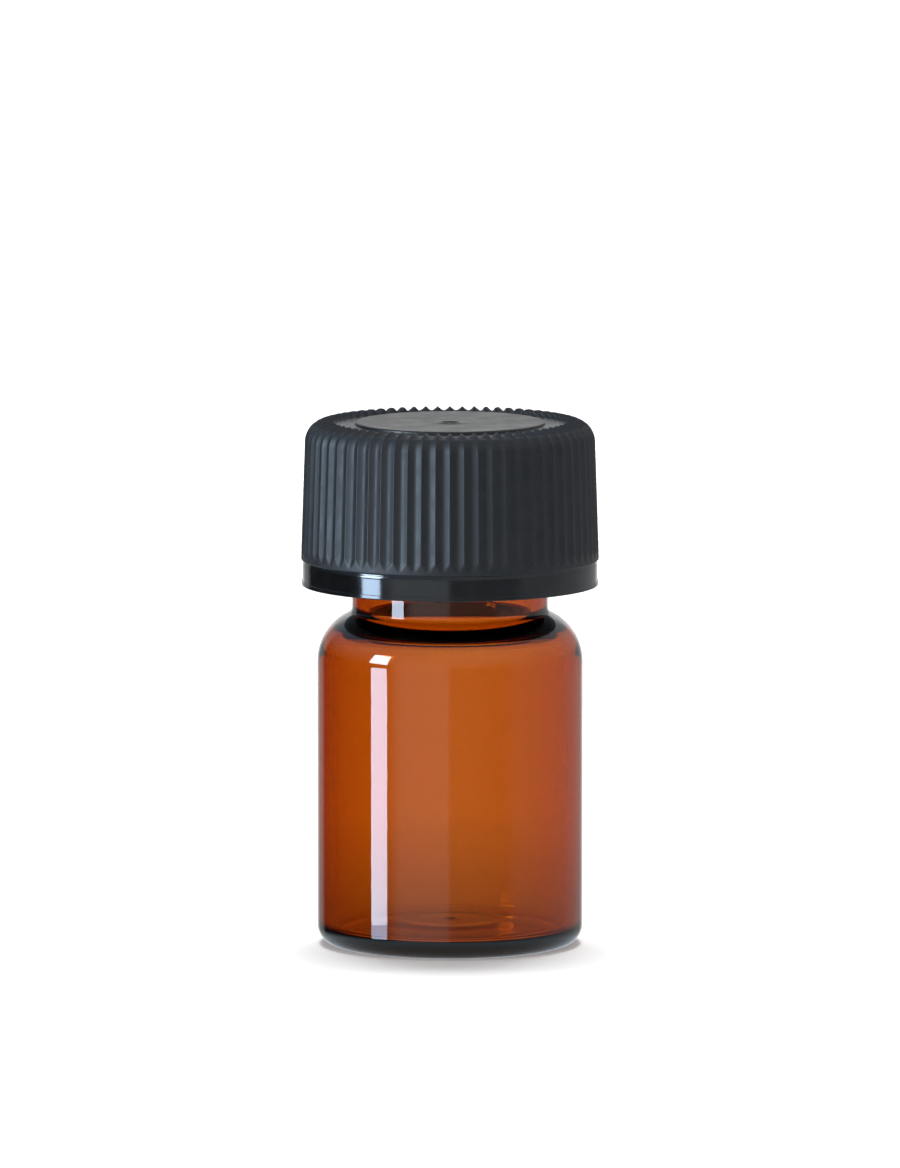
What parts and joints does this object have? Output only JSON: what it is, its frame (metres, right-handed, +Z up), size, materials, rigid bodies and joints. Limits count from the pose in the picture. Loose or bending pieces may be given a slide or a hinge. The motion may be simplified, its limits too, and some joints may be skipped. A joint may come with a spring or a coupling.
{
  "type": "glass sample vial",
  "caption": "Small round amber glass sample vial with a rounded shoulder, a threaded neck, a black ribbed screw cap and a sealing liner under the cap.",
  "frame": {"origin": "centre of the ring that the glass stands on, on the vial's axis", "axes": "+Z up along the vial's axis, from the base to the cap; the vial is round, and one rib of the closed cap faces +X"},
  "size_m": [0.018, 0.018, 0.0318],
  "materials": {
    "amber_glass": "clear amber glass, fire polished",
    "liner_face": "smooth white facing on foam",
    "black_moulding": "satin moulded, glossy lower band"
  },
  "bodies": {
    "vial": {"vial": "amber_glass"},
    "liner": {"liner": "liner_face"},
    "cap": {"cap": "black_moulding"}
  },
  "joints": [
    {"name": "cap_rise", "type": "slide", "parent": "vial", "child": "liner", "axis": [0, 0, 1], "range_m": [0, 0.01695]},
    {"name": "cap_turn", "type": "hinge", "parent": "liner", "child": "cap", "pos_m": [0, 0, 0.026], "axis": [0, 0, 1], "range_deg": [0, 2880]}
  ],
  "couplings": [
    {"joint": "cap_rise", "follows": "cap_turn", "m_per_rad": 0.00033688}
  ]
}
